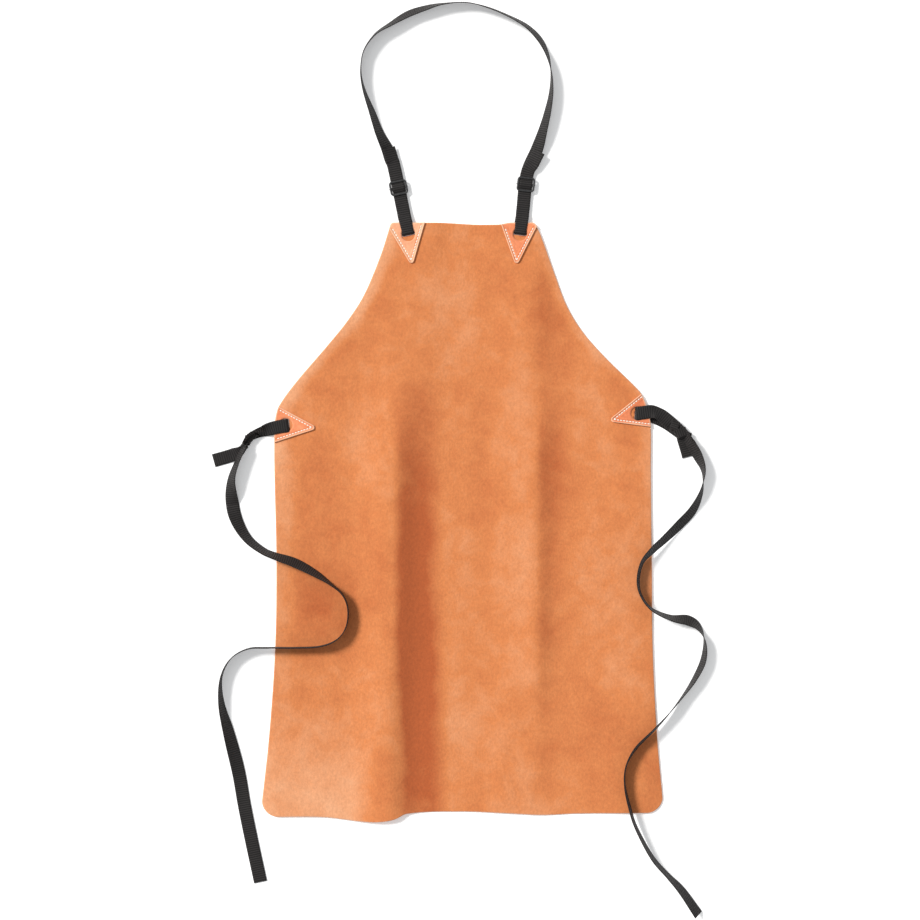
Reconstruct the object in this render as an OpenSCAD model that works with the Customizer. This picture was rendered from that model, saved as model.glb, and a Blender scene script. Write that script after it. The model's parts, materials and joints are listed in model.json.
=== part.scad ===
// Welding apron of split leather, laid flat on a level surface.
// X runs across the apron, +Y points to the bib, +Z points up from the surface.
// The origin is under the middle of the hide, on the surface.

/* [Hide] */
// Overall length of the hide, bib to hem
apron_l = 900; // [840:1:960]
// Width of the hide at the hem
hem_w = 600; // [580:1:640]
// Width of the hide between the waist holes
waist_w = 566; // [556:1:576]
// Width of the bib along its top edge
bib_w = 216; // [210:1:226]
// Thickness of the leather
leather_t = 2.2; // [1.4:0.1:2.6]
// Height of the shallow folds that lift the hide off the surface
fold_h = 2.4; // [2.2:0.1:3]
// Radius of the hem corners
hem_r = 25; // [10:1:40]
// Radius of the corner where the bib meets the side
side_r = 18; // [10:1:30]

/* [Patches] */
// Thickness of the leather patch round each hole
patch_t = 2; // [1.2:0.1:2.2]
// Distance from a patch's edge to its stitching
hem_gap = 4; // [3:0.5:5]
// Diameter of the four punched holes
hole_d = 22; // [21:0.5:24]

/* [Stitching] */
// Distance from one stitch to the next
stitch_pitch = 4.6; // [4:0.1:6]
// Length of the thread that shows in one stitch
stitch_l = 3.4; // [2.5:0.1:3.6]
// Width of the thread
thread_w = 1.2; // [0.8:0.1:1.4]
// Height of the thread above the leather
thread_h = 0.5; // [0.3:0.1:0.5]

/* [Webbing] */
// Width of the woven webbing
web_w = 20; // [18:0.5:20]
// Thickness of the woven webbing
web_t = 1.2; // [0.8:0.1:1.2]

/* [Sliders] */
// Width of a slider across the webbing
slider_w = 27; // [26:0.5:30]
// Length of a slider along the webbing
slider_l = 22.5; // [20:0.5:23]
// Width of a slider's two side rails
rail_w = 2; // [1.5:0.1:2.2]
// Length of a slider's two outer bars
bar_l = 3.4; // [2.5:0.1:4]

/* [Hidden] */

leather_col = [0.86, 0.55, 0.34];
patch_col = [0.88, 0.60, 0.42];
thread_col = [0.97, 0.95, 0.90];
web_col = [0.16, 0.15, 0.15];
slider_col = [0.09, 0.09, 0.09];

half_l = apron_l / 2;
half_hem = hem_w / 2;
half_waist = waist_w / 2;
half_bib = bib_w / 2;

// Heights of the layers, from the surface up
hide_top = fold_h + leather_t;
patch_top = hide_top + patch_t;
under_z = 0.4;
over_z = patch_top + 0.3;

// Holes, and each patch's V of stitching as its start, its point and its end
hole_neck_left = [-82, 432];
hole_neck_right = [85.5, 432.5];
hole_waist_left = [-265.5, 146];
hole_waist_right = [262, 163.5];
v_neck_left = [[-106, 441], [-77.5, 393], [-62, 447]];
v_neck_right = [[63.5, 441], [80.5, 393], [106, 443]];
v_waist_left = [[-275, 168.5], [-226.5, 142.5], [-280, 125]];
v_waist_right = [[269, 189], [226, 154.5], [281, 147.5]];

// ---- Outline of the hide ------------------------------------------------

side_y = 170;
side_arc = [half_waist - side_r, side_y];
bib_lean = 17;
bib_pull = 99;
side_pull = 160;
bib_end = side_arc + side_r * [cos(45), sin(45)];
bib_p1 = [half_bib, half_l] + bib_pull * [sin(bib_lean), -cos(bib_lean)];
bib_p2 = bib_end + side_pull * [-cos(45), sin(45)];
flare_y = -190;
flare_end = -half_l + hem_r;

function bezier(a, b, c, d, t) =
    pow(1 - t, 3) * a + 3 * t * pow(1 - t, 2) * b + 3 * t * t * (1 - t) * c + t * t * t * d;
function arc(c, r, a0, a1, n) =
    [for (i = [0:n]) c + r * [cos(a0 + (a1 - a0) * i / n), sin(a0 + (a1 - a0) * i / n)]];
function flare_x(t) = half_waist + (half_hem - half_waist) * pow(t, 1.3);

half_outline = concat(
    [for (i = [0:11]) bezier([half_bib, half_l], bib_p1, bib_p2, bib_end, i / 12)],
    arc(side_arc, side_r, 45, 0, 4),
    [for (i = [0:6]) [flare_x(i / 6), flare_y + (flare_end - flare_y) * i / 6]],
    arc([half_hem - hem_r, -half_l + hem_r], hem_r, -15, -90, 5)
);
last = len(half_outline) - 1;
outline = concat(half_outline, [for (i = [last:-1:0]) [-half_outline[i][0], half_outline[i][1]]]);

// ---- Shallow folds across the hide --------------------------------------

// Each fold is a flat crest between two ramps: [foot, crest start, crest end, foot]
folds = [[-330, -320, -162, -142], [-134, -114, -56, -36], [36, 56, 114, 134], [194, 216, 320, 330]];
ramp_n = 4;

function ease(t) = (1 - cos(180 * t)) / 2;
function ramp(x0, x1, z0, z1) =
    [for (i = [0:ramp_n]) [x0 + (x1 - x0) * i / ramp_n, z0 + (z1 - z0) * ease(i / ramp_n)]];
fold_line = [for (f = folds) for (p = concat(ramp(f[0], f[1], 0, fold_h), ramp(f[2], f[3], fold_h, 0))) p];
fold_last = len(fold_line) - 1;
fold_section = concat(fold_line, [for (i = [fold_last:-1:0]) fold_line[i] + [0, leather_t]]);

module hide_prism(z0, z1) {
    translate([0, 0, z0]) linear_extrude(z1 - z0) polygon(outline);
}

module hole(p) {
    translate([p[0], p[1], -1]) cylinder(h = patch_top + 2, d = hole_d, $fn = 64);
}

module apron_hide() {
    color(leather_col) difference() {
        intersection() {
            translate([0, half_l + 5, 0]) rotate([90, 0, 0]) linear_extrude(apron_l + 10) polygon(fold_section);
            hide_prism(-1, hide_top + 1);
        }
        hole(hole_neck_left);
        hole(hole_neck_right);
        hole(hole_waist_left);
        hole(hole_waist_right);
    }
}

// ---- Patches ------------------------------------------------------------

function unit(v) = v / norm(v);
function left_of(v) = [-v[1], v[0]];
function cross2(a, b) = a[0] * b[1] - a[1] * b[0];

// The patch's outline lies hem_gap outside the V and has a rounded point
function patch_outline(v) =
    let (leg_a = unit(v[1] - v[0]), leg_b = unit(v[1] - v[2]))
    let (turn = cross2(leg_a, leg_b) > 0 ? 1 : -1)
    let (out_a = turn * left_of(leg_a), out_b = -turn * left_of(leg_b))
    let (a0 = atan2(out_a[1], out_a[0]), b0 = atan2(out_b[1], out_b[0]))
    let (sweep = (b0 - a0) * turn > 0 ? b0 - a0 - 360 * turn : b0 - a0)
    concat(
        [v[0] + hem_gap * out_a - 16 * leg_a],
        [for (i = [0:6]) v[1] + hem_gap * [cos(a0 + sweep * i / 6), sin(a0 + sweep * i / 6)]],
        [v[2] + hem_gap * out_b - 16 * leg_b]
    );

module patch(v, p) {
    color(patch_col) difference() {
        intersection() {
            translate([0, 0, hide_top]) linear_extrude(patch_t) polygon(patch_outline(v));
            hide_prism(0, patch_top + 1);
        }
        hole(p);
    }
}

module patch_neck_left() { patch(v_neck_left, hole_neck_left); }
module patch_neck_right() { patch(v_neck_right, hole_neck_right); }
module patch_waist_left() { patch(v_waist_left, hole_waist_left); }
module patch_waist_right() { patch(v_waist_right, hole_waist_right); }

// ---- Stitching: one short raised thread per stitch ----------------------

module stitch(p, a, z) {
    translate([p[0], p[1], z]) rotate(a) linear_extrude(thread_h) {
        square([stitch_l - thread_w, thread_w], center = true);
        for (s = [-1, 1]) translate([s * (stitch_l - thread_w) / 2, 0]) circle(d = thread_w, $fn = 16);
    }
}

module stitch_leg(from, to, z) {
    n = floor(norm(to - from) / stitch_pitch);
    dir = unit(to - from);
    for (i = [0:n - 1]) stitch(to - dir * stitch_pitch * (i + 0.5), atan2(dir[1], dir[0]), z);
}

module stitching(v, z) {
    color(thread_col) {
        stitch_leg(v[0], v[1], z);
        stitch_leg(v[2], v[1], z);
    }
}

module needle_thread_neck_left() { stitching(v_neck_left, patch_top); }
module needle_thread_neck_right() { stitching(v_neck_right, patch_top); }
module needle_thread_waist_left() { stitching(v_waist_left, patch_top); }
module needle_thread_waist_right() { stitching(v_waist_right, patch_top); }
module bobbin_thread_neck_left() { stitching(v_neck_left, fold_h - thread_h); }
module bobbin_thread_neck_right() { stitching(v_neck_right, fold_h - thread_h); }
module bobbin_thread_waist_left() { stitching(v_waist_left, fold_h - thread_h); }
module bobbin_thread_waist_right() { stitching(v_waist_right, fold_h - thread_h); }

// ---- Webbing that lies free ---------------------------------------------

// Each point of a route is [x, y, height of the lower edge, roll]. A roll of 0 lies
// flat, 90 stands on edge with the left-hand edge up, and more than 90 shows the back.
route_neck = [
    [-88, 459, 1.7, 0], [-90, 470, 2.5, 0], [-103, 532, 2.5, 0], [-108, 545, 1.6, 9], [-114, 561, 0.6, 26],
    [-125, 584, 0.3, 48], [-136, 615, 0.3, 62], [-148, 648, 0.3, 79], [-153, 676, 0.3, 90],
    [-149, 706, 0.3, 97], [-132, 731, 0.3, 105], [-108, 747, 0.3, 117], [-82, 762, 0.3, 129],
    [-56, 771, 0.3, 122], [-30, 777, 0.3, 107], [4, 779, 0.3, 101], [36, 772, 0.3, 104],
    [68, 759, 0.3, 107], [95, 744, 0.3, 115], [114, 725, 0.3, 119], [126, 702, 0.3, 109],
    [132, 674, 0.3, 90], [132, 645, 0.3, 75], [127, 616, 0.3, 61], [120, 589, 0.3, 48],
    [111, 560, 0.8, 22], [96, 522, 2.5, 0], [90, 470, 2.5, 0], [89, 459, 1.7, 0]
];
route_end_left = [[-88, 459, 5.6, 0], [-90, 470, 4, 0], [-103, 532, 4, 0], [-107, 546, 4.2, 9], [-111, 562, 4.4, 22]];
route_end_right = [[89, 459, 5.6, 0], [90, 470, 4, 0], [96, 522, 4, 0], [105, 539, 4.4, -11], [114, 556, 4.6, -20]];
route_tie_left = [
    [-328, 113, 2.4, 60], [-339, 89, 2.4, 63], [-347, 62, 2.4, 48], [-346, 27, 0.3, 0],
    [-338, 0, 0.3, -30], [-322, -25, 0.5, -53], [-300, -42, 3, -62], [-281, -50, 5.4, -60],
    [-252, -60, 5.4, -49], [-223, -75, 5.4, -62], [-199, -91, 5.4, -83], [-180, -108, 5.4, -90],
    [-172, -130, 5.4, -90], [-175, -156, 5.4, -90], [-189, -175, 5.4, -90], [-214, -185, 5.4, -90],
    [-250, -187, 5.4, -90], [-290, -187, 5.4, -90], [-322, -189, 1.5, -90], [-348, -204, 0.3, -90],
    [-362, -232, 0.3, -87], [-362, -270, 0.3, -70], [-351, -316, 0.3, -37], [-337, -374, 0.3, -8],
    [-328, -426, 0.3, 0], [-317, -480, 0.3, 0], [-304, -540, 0.3, 0]
];
route_tie_right = [
    [340, 120, 2.4, 45], [351, 101, 2.4, 47], [359, 82, 2, 72], [360, 65, 1, 92],
    [356, 43, 0.3, 113], [344, 18, 0.3, 134], [325, -3, 0.3, 138], [303, -24, 2.4, 129],
    [284, -41, 5.4, 122], [268, -60, 5.4, 110], [262, -87, 5.4, 106], [267, -110, 5.4, 101],
    [283, -130, 5.4, 101], [312, -143, 2, 114], [338, -147, 0.3, 139], [354, -158, 0.3, 116],
    [362, -178, 0.3, 88], [360, -206, 0.3, 72], [347, -234, 0.3, 77], [330, -259, 0.3, 90],
    [309, -285, 4, 99], [285, -311, 5.4, 106], [259, -337, 5.4, 107], [244, -364, 5.4, 99],
    [242, -393, 5.4, 98], [249, -425, 5.4, 103], [259, -456, 5, 103], [283, -501, 1, 106],
    [307, -529, 0.3, 108], [328, -552, 0.3, 123], [353, -588, 0.3, 135]
];

function centre(p) =
    [p[0], p[1], p[2] + (web_w * abs(sin(p[3])) + web_t * abs(cos(p[3]))) / 2];
function along(r, i) =
    unit(centre(r[min(i + 1, len(r) - 1)]) - centre(r[max(i - 1, 0)]));

edge = 0.4;
section = [
    [web_w / 2, -web_t / 4], [web_w / 2, web_t / 4], [web_w / 2 - edge, web_t / 2], [edge - web_w / 2, web_t / 2],
    [-web_w / 2, web_t / 4], [-web_w / 2, -web_t / 4], [edge - web_w / 2, -web_t / 2], [web_w / 2 - edge, -web_t / 2]
];
sides = len(section);

function ring(r, i) =
    let (t = along(r, i))
    let (flat_side = unit(cross([0, 0, 1], t)))
    let (up = cross(t, flat_side))
    let (across = cos(r[i][3]) * flat_side + sin(r[i][3]) * up)
    let (face = cross(t, across))
    [for (q = section) centre(r[i]) + q[0] * across + q[1] * face];

// One of the two triangles of a wall. The two broad faces are split along the same
// diagonal, so the webbing keeps its thickness where it twists.
function wall(i, j, k) =
    let (a = i * sides + j, b = i * sides + (j + 1) % sides)
    j < sides / 2
        ? (k == 0 ? [a, a + sides, b] : [b, a + sides, b + sides])
        : (k == 0 ? [a, a + sides, b + sides] : [a, b + sides, b]);

module webbing(r) {
    n = len(r);
    points = [for (i = [0:n - 1]) for (p = ring(r, i)) p];
    walls = [for (i = [0:n - 2]) for (j = [0:sides - 1]) for (k = [0, 1]) wall(i, j, k)];
    start = [[for (j = [0:sides - 1]) j]];
    finish = [[for (j = [sides - 1:-1:0]) (n - 1) * sides + j]];
    color(web_col) polyhedron(points, concat(walls, start, finish));
}

module neck_strap() { webbing(route_neck); }
module neck_strap_end_left() { webbing(route_end_left); }
module neck_strap_end_right() { webbing(route_end_right); }
module waist_tie_left() { webbing(route_tie_left); }
module waist_tie_right() { webbing(route_tie_right); }

// ---- Webbing that turns through the holes -------------------------------

// Neck: a turn from under the hide, up through the hole and back over the patch
turn_end_y = 451;

module neck_turn(p, toward) {
    dir = unit(toward - p);
    run = (turn_end_y - p[1]) / dir[1];
    turn = [
        [run, under_z], [run, under_z + web_t], [web_t / 2, under_z + web_t], [web_t / 2, over_z],
        [run, over_z], [run, over_z + web_t], [-web_t / 2, over_z + web_t], [-web_t / 2, under_z]
    ];
    color(web_col) translate([p[0], p[1], 0]) rotate(atan2(dir[1], dir[0]))
        translate([0, web_w / 2, 0]) rotate([90, 0, 0]) linear_extrude(web_w) polygon(turn);
}

module neck_strap_turn_left() { neck_turn(hole_neck_left, [-88, 459]); }
module neck_strap_turn_right() { neck_turn(hole_neck_right, [89, 459]); }

// Waist: two flat runs from the hole to the knot, above and below the hide
knot_r = 11;
knot_h = 9;
knot_left = [-323, 125];
knot_right = [331, 130];
run_left = [hole_waist_left, [-290, 141], knot_left];
run_right = [hole_waist_right, [285, 163], [311, 150], knot_right];
tail_left = [knot_left, [-334, 107], [-355, 98], [-374.5, 92.5]];
tail_right = [knot_right, [334, 114], [336, 98]];

function side_dir(r, i) = left_of(unit(r[min(i + 1, len(r) - 1)] - r[max(i - 1, 0)]));
function strip(r, w) = concat(
    [for (i = [0:len(r) - 1]) r[i] + side_dir(r, i) * w / 2],
    [for (i = [len(r) - 1:-1:0]) r[i] - side_dir(r, i) * w / 2]
);

module flat_run(r, z, w) {
    translate([0, 0, z]) linear_extrude(web_t) polygon(strip(r, w));
}

module waist_hitch(run, tail, tail_w) {
    p = run[0];
    dir = unit(run[1] - p);
    knot = run[len(run) - 1];
    color(web_col) union() {
        flat_run(run, over_z, web_w);
        flat_run(run, under_z, web_w);
        translate([p[0], p[1], under_z]) rotate(atan2(dir[1], dir[0]))
            translate([0, -web_w / 2, 0]) cube([web_t, web_w, over_z - under_z + web_t]);
        translate([knot[0], knot[1], under_z]) cylinder(h = knot_h, r = knot_r, $fn = 48);
        flat_run(tail, under_z, tail_w);
    }
}

module waist_hitch_left() { waist_hitch(run_left, tail_left, 19); }
module waist_hitch_right() { waist_hitch(run_right, tail_right, 14); }

// ---- Sliders ------------------------------------------------------------

// A slider's ring lies above the doubled webbing and its middle bar lies below it
slider_at_left = [-96.7, 502];
slider_at_right = [94.3, 507];
lean_left = 11.8;
lean_right = -6.6;
slider_r = 4;
middle_l = 5;
middle_z = 0.4;
middle_t = 1.7;
ring_z = 5.6;
ring_t = 1.8;

module rounded(w, l, r) {
    square([w - 2 * r, l], center = true);
    square([w, l - 2 * r], center = true);
    for (x = [-1, 1]) for (y = [-1, 1])
        translate([x * (w / 2 - r), y * (l / 2 - r)]) circle(r = r, $fn = 32);
}

module slider(p, lean) {
    inner_w = slider_w - 2 * rail_w;
    color(slider_col) translate([p[0], p[1], 0]) rotate(lean) {
        translate([0, 0, ring_z]) linear_extrude(ring_t) difference() {
            rounded(slider_w, slider_l, slider_r);
            square([inner_w, slider_l - 2 * bar_l], center = true);
        }
        for (s = [-1, 1]) translate([s * (slider_w - rail_w) / 2, 0, middle_z + (ring_z - middle_z) / 2])
            cube([rail_w, middle_l, ring_z - middle_z], center = true);
        translate([0, 0, middle_z + middle_t / 2]) cube([slider_w, middle_l, middle_t], center = true);
    }
}

module slider_left() { slider(slider_at_left, lean_left); }
module slider_right() { slider(slider_at_right, lean_right); }

apron_hide();
patch_neck_left();
patch_neck_right();
patch_waist_left();
patch_waist_right();
needle_thread_neck_left();
needle_thread_neck_right();
needle_thread_waist_left();
needle_thread_waist_right();
bobbin_thread_neck_left();
bobbin_thread_neck_right();
bobbin_thread_waist_left();
bobbin_thread_waist_right();
slider_left();
slider_right();
neck_strap();
neck_strap_end_left();
neck_strap_end_right();
neck_strap_turn_left();
neck_strap_turn_right();
waist_tie_left();
waist_tie_right();
waist_hitch_left();
waist_hitch_right();
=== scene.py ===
import bpy
import bmesh
import json
import math
import random
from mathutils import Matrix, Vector, noise


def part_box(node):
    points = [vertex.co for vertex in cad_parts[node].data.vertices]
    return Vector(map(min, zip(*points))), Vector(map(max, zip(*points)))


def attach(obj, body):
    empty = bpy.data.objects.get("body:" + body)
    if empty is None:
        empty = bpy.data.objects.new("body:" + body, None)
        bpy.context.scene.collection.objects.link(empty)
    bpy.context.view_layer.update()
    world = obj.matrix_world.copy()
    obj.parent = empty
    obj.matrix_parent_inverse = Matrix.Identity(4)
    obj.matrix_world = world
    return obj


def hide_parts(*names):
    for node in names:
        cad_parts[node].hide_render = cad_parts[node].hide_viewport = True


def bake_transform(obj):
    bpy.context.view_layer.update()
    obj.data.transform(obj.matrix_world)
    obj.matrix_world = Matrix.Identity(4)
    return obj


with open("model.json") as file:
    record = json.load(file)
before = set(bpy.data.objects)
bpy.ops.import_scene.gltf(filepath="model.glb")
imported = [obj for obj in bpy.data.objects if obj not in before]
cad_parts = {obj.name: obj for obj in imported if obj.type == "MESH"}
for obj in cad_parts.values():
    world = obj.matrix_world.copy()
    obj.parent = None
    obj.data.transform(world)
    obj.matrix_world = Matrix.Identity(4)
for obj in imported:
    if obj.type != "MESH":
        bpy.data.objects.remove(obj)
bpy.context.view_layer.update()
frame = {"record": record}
MM = 0.001


# ---- Small helpers ----


def clamp(v, low=0.0, high=1.0):
    return max(low, min(high, v))


def smooth(v, start, end):
    """0 before start, 1 after end, and an even curve between them."""
    t = clamp((v - start) / (end - start))
    return t * t * (3 - 2 * t)


def catmull(a, b, c, d, t):
    """One span of a smooth curve through b and c; each point is a list of numbers."""
    return [
        0.5 * (2 * q + (r - p) * t + (2 * p - 5 * q + 4 * r - s) * t * t + (3 * q - p - 3 * r + s) * t ** 3)
        for p, q, r, s in zip(a, b, c, d)
    ]


def smooth_line(points, steps):
    """The points of a smooth curve through the given ones, with steps points to a span."""
    ends = [[2 * p - q for p, q in zip(points[0], points[1])]]
    ends += [list(p) for p in points]
    ends += [[2 * p - q for p, q in zip(points[-1], points[-2])]]
    line = []
    for i in range(len(points) - 1):
        line += [catmull(*ends[i:i + 4], k / steps) for k in range(steps)]
    return line + [list(points[-1])]


def curve_value(table, v):
    """The value at v of a smooth curve through (place, value) pairs, level beyond its ends."""
    if v <= table[0][0]:
        return table[0][1]
    if v >= table[-1][0]:
        return table[-1][1]
    n = len(table)
    i = next(k for k in range(n - 1) if v <= table[k + 1][0])
    (v0, a), (v1, b) = table[i], table[i + 1]
    before, after = table[max(i - 1, 0)], table[min(i + 2, n - 1)]
    h = v1 - v0
    m0 = (b - before[1]) / (v1 - before[0])
    m1 = (after[1] - a) / (after[0] - v0)
    t = (v - v0) / h
    return (
        (2 * t ** 3 - 3 * t * t + 1) * a + (t ** 3 - 2 * t * t + t) * h * m0
        + (3 * t * t - 2 * t ** 3) * b + (t ** 3 - t * t) * h * m1
    )


def add_object(name, mesh, material):
    mesh.materials.append(material)
    piece = bpy.data.objects.new(name, mesh)
    bpy.context.scene.collection.objects.link(piece)
    return piece


def new_mesh(name, verts, faces):
    mesh = bpy.data.meshes.new(name)
    mesh.from_pydata(verts, [], faces)
    mesh.polygons.foreach_set("use_smooth", [True] * len(mesh.polygons))
    mesh.update()
    return mesh


def tube_faces(cuts, sides):
    """The faces of a closed tube whose cuts have sides points each, one cut after the other."""
    faces = []
    for i in range(cuts - 1):
        for k in range(sides):
            m = (k + 1) % sides
            faces.append((i * sides + k, i * sides + m, (i + 1) * sides + m, (i + 1) * sides + k))
    faces.append(tuple(range(sides - 1, -1, -1)))
    faces.append(tuple(range((cuts - 1) * sides, cuts * sides)))
    return faces


def shell_faces(rows, columns, closed):
    """The faces of a sheet with two layers of rows x columns points, and of the edges between the layers.

    The columns run on from the last to the first where it is closed.
    """
    def at(layer, i, j):
        return (layer * rows + i) * columns + j % columns

    spans = columns if closed else columns - 1
    last = rows - 1
    faces = []
    for i in range(last):
        for j in range(spans):
            faces.append((at(0, i, j), at(0, i + 1, j), at(0, i + 1, j + 1), at(0, i, j + 1)))
            faces.append((at(1, i, j), at(1, i, j + 1), at(1, i + 1, j + 1), at(1, i + 1, j)))
    if not closed:
        for i in range(last):
            faces.append((at(0, i, 0), at(1, i, 0), at(1, i + 1, 0), at(0, i + 1, 0)))
            faces.append((at(0, i + 1, spans), at(1, i + 1, spans), at(1, i, spans), at(0, i, spans)))
    for j in range(spans):
        faces.append((at(0, 0, j), at(0, 0, j + 1), at(1, 0, j + 1), at(1, 0, j)))
        faces.append((at(0, last, j + 1), at(0, last, j), at(1, last, j), at(1, last, j + 1)))
    return faces


def fill_attribute(mesh, name, values):
    """Stores one number a point, or one vector a point, for the materials."""
    if isinstance(values[0], tuple):
        store = mesh.attributes.new(name, "FLOAT_VECTOR", "POINT")
        store.data.foreach_set("vector", [c for v in values for c in v])
    else:
        mesh.attributes.new(name, "FLOAT", "POINT").data.foreach_set("value", values)


# ---- Camera and light ----

# Where the camera looks, straight down, and how wide its view is at the hide's upper face, in metres
VIEW_X = -0.0045
VIEW_Y = 0.09375
VIEW_WIDTH = 1.38
HIDE_LEVEL = 0.005

# Lens and sensor, in mm
LENS = 85
SENSOR = 36

SUN_POWER = 3.75
SUN_SPREAD = math.radians(15)
SUN_COLOR = (1.0, 0.985, 0.96)
SUN_TOWARD = Vector((0.66, -0.38, -0.70))
SKY_POWER = 0.50
SKY_COLOR = (0.97, 0.985, 1.0, 1)


def make_camera():
    data = bpy.data.cameras.new("camera")
    data.lens = LENS
    data.sensor_width = SENSOR
    camera = bpy.data.objects.new("camera", data)
    camera.location = (VIEW_X, VIEW_Y, VIEW_WIDTH * LENS / SENSOR + HIDE_LEVEL)
    bpy.context.scene.collection.objects.link(camera)
    bpy.context.scene.camera = camera


def make_lights():
    """A wide soft sun from the upper left, and an even pale sky."""
    key = bpy.data.lights.new("key", "SUN")
    key.energy = SUN_POWER
    key.angle = SUN_SPREAD
    key.color = SUN_COLOR
    lamp = bpy.data.objects.new("key", key)
    lamp.rotation_euler = SUN_TOWARD.to_track_quat("-Z", "Y").to_euler()
    bpy.context.scene.collection.objects.link(lamp)
    world = bpy.data.worlds.new("world")
    world.use_nodes = True
    sky = world.node_tree.nodes["Background"]
    sky.inputs["Color"].default_value = SKY_COLOR
    sky.inputs["Strength"].default_value = SKY_POWER
    bpy.context.scene.world = world
    bpy.context.scene.view_settings.view_transform = "Standard"


make_camera()
make_lights()


# ---- Materials ----

# Nearly all of a noise's values lie between these two
NOISE_LOW = 0.3
NOISE_HIGH = 0.7


class Nodes:
    """Builds a node material a line at a time."""

    def __init__(self, name):
        self.material = bpy.data.materials.new(name)
        self.material.use_nodes = True
        self.tree = self.material.node_tree
        self.shader = self.tree.nodes["Principled BSDF"]

    def value(self, socket, what):
        """Links what into the socket, or sets it where it is a plain number or colour."""
        if isinstance(what, bpy.types.NodeSocket):
            self.tree.links.new(what, socket)
        else:
            socket.default_value = what

    def add(self, kind, sockets={}, **settings):
        """A new node, with its settings, and with its inputs linked or set."""
        node = self.tree.nodes.new(kind)
        for key, what in settings.items():
            setattr(node, key, what)
        for key, what in sockets.items():
            self.value(node.inputs[key], what)
        return node

    def math(self, operation, a, b=0.0):
        return self.add("ShaderNodeMath", {0: a, 1: b}, operation=operation).outputs[0]

    def place(self):
        return self.add("ShaderNodeTexCoord").outputs["Object"]

    def attribute(self, name, output="Fac"):
        return self.add("ShaderNodeAttribute", attribute_name=name).outputs[output]

    def scaled(self, vector, scale):
        return self.add("ShaderNodeMapping", {"Vector": vector, "Scale": scale}).outputs[0]

    def noise(self, vector, scale, detail=3.0, rough=0.55, distortion=0.0):
        sockets = {"Vector": vector, "Scale": scale, "Detail": detail, "Roughness": rough}
        sockets["Distortion"] = distortion
        return self.add("ShaderNodeTexNoise", sockets).outputs["Fac"]

    def spread(self, value, low, high, to_low=0.0, to_high=1.0):
        """The value, moved from the range low to high into another one, and held inside it."""
        sockets = {"Value": value, "From Min": low, "From Max": high, "To Min": to_low, "To Max": to_high}
        return self.add("ShaderNodeMapRange", sockets, clamp=True).outputs[0]

    def vary(self, noise, low, high):
        """A noise, spread out so that it runs from low to high."""
        return self.spread(noise, NOISE_LOW, NOISE_HIGH, low, high)

    def mix(self, factor, a, b, kind="MIX"):
        sockets = {"Factor": factor, 6: a, 7: b}
        return self.add("ShaderNodeMix", sockets, data_type="RGBA", blend_type=kind).outputs[2]

    def shade(self, color, factor):
        """The colour, darkened or lightened by the factor."""
        return self.mix(1.0, color, factor, "MULTIPLY")

    def bump(self, height, distance, strength, after=None):
        sockets = {"Height": height, "Distance": distance, "Strength": strength}
        if after is not None:
            sockets["Normal"] = after
        return self.add("ShaderNodeBump", sockets).outputs["Normal"]

    def finish(self, color, rough, normal=None, **fixed):
        self.value(self.shader.inputs["Base Color"], color)
        self.value(self.shader.inputs["Roughness"], rough)
        if normal is not None:
            self.value(self.shader.inputs["Normal"], normal)
        for key, value in fixed.items():
            self.shader.inputs[key.replace("_", " ")].default_value = value
        return self.material


def leather(name, dark, mid, light, edge_glow):
    """Brushed split leather: a mottled colour, a fine nap, and paler cut edges.

    The mesh gives the large changes of tone, the hide's painted shade, painted highlights and painted shadow
    among them, and says where an edge is cut.
    """
    n = Nodes(name)
    at = n.place()
    tone_and_shade, cut = n.attribute("tone_and_shade"), n.attribute("cut")
    cloud = n.noise(at, scale=5.5, detail=4.0, rough=0.6)
    blotch = n.noise(at, scale=28.0, detail=5.0, rough=0.62, distortion=0.4)
    nap = n.noise(n.scaled(at, (1.0, 0.62, 1.0)), scale=330.0, detail=4.0, rough=0.75)
    speck = n.noise(at, scale=1500.0, detail=2.0, rough=0.6)
    grade = tone_and_shade
    for patchiness in (cloud, blotch):
        grade = n.math("ADD", grade, n.math("MULTIPLY", n.math("SUBTRACT", patchiness, 0.5), 0.55))
    color = n.mix(n.spread(grade, 0.05, 0.5), dark, mid)
    color = n.mix(n.spread(grade, 0.5, 1.0), color, light)
    color = n.shade(color, n.vary(nap, 0.84, 1.13))
    color = n.shade(color, n.vary(speck, 0.95, 1.04))
    color = n.mix(n.math("MULTIPLY", cut, edge_glow), color, (0.80, 0.50, 0.33, 1))
    normal = n.bump(cloud, distance=0.004, strength=0.35)
    normal = n.bump(blotch, distance=0.0009, strength=0.7, after=normal)
    normal = n.bump(nap, distance=0.00030, strength=0.75, after=normal)
    normal = n.bump(speck, distance=0.00008, strength=0.5, after=normal)
    return n.finish(
        color, n.vary(nap, 0.82, 0.95), normal, Sheen_Weight=0.10, Sheen_Roughness=0.6,
        Sheen_Tint=(1.0, 0.78, 0.58, 1), Specular_IOR_Level=0.22,
    )


# Distances between the webbing's ribs along it, and between its yarns across it
RIB = 3.3 * MM
YARN = 1.25 * MM
# How far each second yarn's ribs are shifted, in ribs
STAGGER = 0.10


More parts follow.
